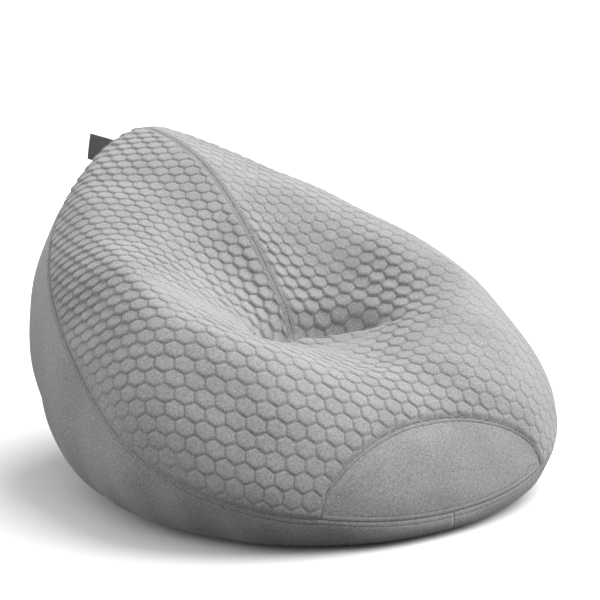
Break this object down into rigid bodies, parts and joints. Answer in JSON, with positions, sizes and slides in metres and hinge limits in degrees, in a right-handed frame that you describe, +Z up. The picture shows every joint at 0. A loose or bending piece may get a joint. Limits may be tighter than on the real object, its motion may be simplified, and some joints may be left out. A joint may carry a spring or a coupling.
{
  "type": "bean bag chair",
  "caption": "Teardrop bean bag lounger with a quilted top, plain sides, a high back, a deep seat hollow, a zipped base and a filled inner liner.",
  "frame": {"origin": "on the floor, at the bag's base face, straight under the lowest point of the seat hollow", "axes": "+Z up, -Y the way the sitter faces, +X the sitter's left"},
  "size_m": [0.999, 1.1783, 0.6664],
  "materials": {
    "quilt_cloth": "woven melange",
    "wadding": "soft wadding",
    "backing": "thin scrim",
    "plain_cloth": "woven melange",
    "base_cloth": "coarse weave",
    "zip_tape": "twill tape",
    "zip_teeth": "nylon coil",
    "zip_metal": "satin",
    "thread": "twisted thread",
    "label_cloth": "woven label",
    "label_thread": "twisted thread",
    "liner_cloth": "spunbond",
    "liner_zip_tape": "twill tape",
    "liner_zip_teeth": "nylon coil",
    "liner_zip_metal": "satin",
    "beads": "expanded foam beads"
  },
  "bodies": {
    "bag": {"quilt_face": "quilt_cloth", "quilt_wadding": "wadding", "quilt_backing": "backing", "side_panel_right": "plain_cloth", "side_panel_left": "plain_cloth", "toe_panel": "plain_cloth", "base_panel_front": "base_cloth", "base_panel_rear": "base_cloth", "zip_tape_front": "zip_tape", "zip_tape_rear": "zip_tape", "zip_teeth_front": "zip_teeth", "zip_teeth_rear": "zip_teeth", "zip_top_stop": "zip_metal", "zip_bottom_stop": "zip_metal", "stitching_back_seam": "thread", "stitching_side_right": "thread", "stitching_side_left": "thread", "stitching_toe_arch": "thread", "stitching_toe_base": "thread", "liner_right": "liner_cloth", "liner_left": "liner_cloth", "liner_base_front": "liner_cloth", "liner_base_rear": "liner_cloth", "liner_zip_tape_front": "liner_zip_tape", "liner_zip_tape_rear": "liner_zip_tape", "liner_zip_teeth_front": "liner_zip_teeth", "liner_zip_teeth_rear": "liner_zip_teeth", "liner_zip_stops": "liner_zip_metal", "bead_filling": "beads"},
    "zip_slider": {"zip_slider": "zip_metal"},
    "liner_zip_slider": {"liner_zip_slider": "liner_zip_metal"},
    "label": {"label": "label_cloth", "label_stitching": "label_thread"}
  },
  "joints": [
    {"name": "zip_slide", "type": "slide", "parent": "bag", "child": "zip_slider", "axis": [-1, 0, 0], "range_m": [0, 0.584]},
    {"name": "liner_zip_slide", "type": "slide", "parent": "bag", "child": "liner_zip_slider", "axis": [-1, 0, 0], "range_m": [0, 0.612]},
    {"name": "label_swing", "type": "hinge", "parent": "bag", "child": "label", "pos_m": [0, 0.66522, 0.58698], "axis": [0, -0.2454, 0.9694], "range_deg": [-95, 35], "stiffness_Nm_per_rad": 0.002}
  ]
}
